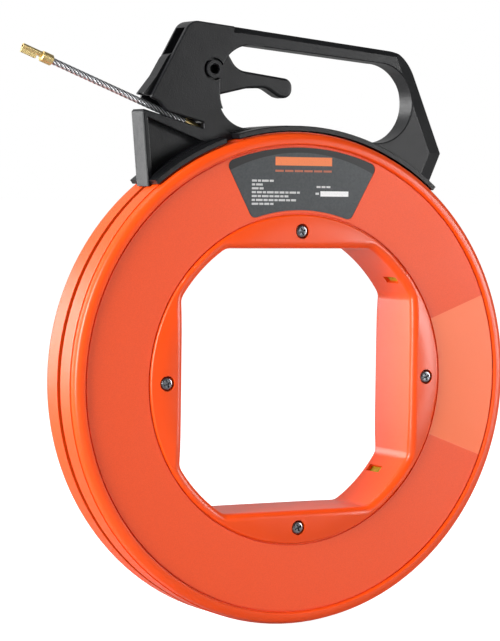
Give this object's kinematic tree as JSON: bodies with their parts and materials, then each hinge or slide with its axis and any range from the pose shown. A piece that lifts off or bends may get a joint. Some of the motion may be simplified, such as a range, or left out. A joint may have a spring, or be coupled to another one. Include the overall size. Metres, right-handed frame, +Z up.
{
  "type": "fish tape reel",
  "caption": "Wide flat fish tape reel with a squared centre opening; a grip handle with a brake trigger rides in a slot round the rim and guides a twisted steel leader with a brass hook tip.",
  "frame": {"origin": "on the floor under the middle of the reel: the lowest point of the round case, in the middle plane between its two halves", "axes": "+Z up through the reel's axis to the grip; +X to the right seen from the label side; the reel's axis is along Y and the label faces -Y"},
  "size_m": [0.3311, 0.0474, 0.3706],
  "materials": {
    "orange_plastic": "satin moulding, fine spark texture on the side panels",
    "black_plastic": "satin moulded nylon",
    "label_film": "printed polyester film",
    "yellow_tape": "smooth extruded tape",
    "screw_steel": "zinc plated",
    "pin_steel": "black oxide",
    "spring_steel": "bright drawn wire",
    "cable_steel": "galvanised strand",
    "brass": "turned, lightly tarnished"
  },
  "bodies": {
    "handle": {"handle_frame": "black_plastic", "pivot_pin": "pin_steel", "trigger_spring": "spring_steel"},
    "trigger": {"trigger_lever": "black_plastic"},
    "reel": {"front_case": "orange_plastic", "rear_case": "orange_plastic", "label_plate": "label_film", "case_screw_top": "screw_steel", "case_screw_right": "screw_steel", "case_screw_bottom": "screw_steel", "case_screw_left": "screw_steel", "tape_coil": "yellow_tape", "tape_anchor": "spring_steel", "anchor_screw": "screw_steel", "tape_tail": "yellow_tape"},
    "tape": {"tape_lead": "yellow_tape", "leader_ferrule": "brass", "leader_cable": "cable_steel", "tip_sleeve": "brass", "tip_hook": "brass"}
  },
  "joints": [
    {"name": "reel_spin", "type": "hinge", "parent": "handle", "child": "reel", "pos_m": [0, 0, 0.1525], "axis": [0, 1, 0], "continuous": true},
    {"name": "trigger_squeeze", "type": "hinge", "parent": "handle", "child": "trigger", "pos_m": [-0.0545, 0, 0.342], "axis": [0, -1, 0], "range_deg": [0, 3.6], "stiffness_Nm_per_rad": 0.3, "springref_deg": -17.19, "deforming": ["trigger_spring"]},
    {"name": "tape_pull", "type": "slide", "parent": "handle", "child": "tape", "axis": [-0.9342, 0, 0.3567], "range_m": [0, 0.06]}
  ]
}
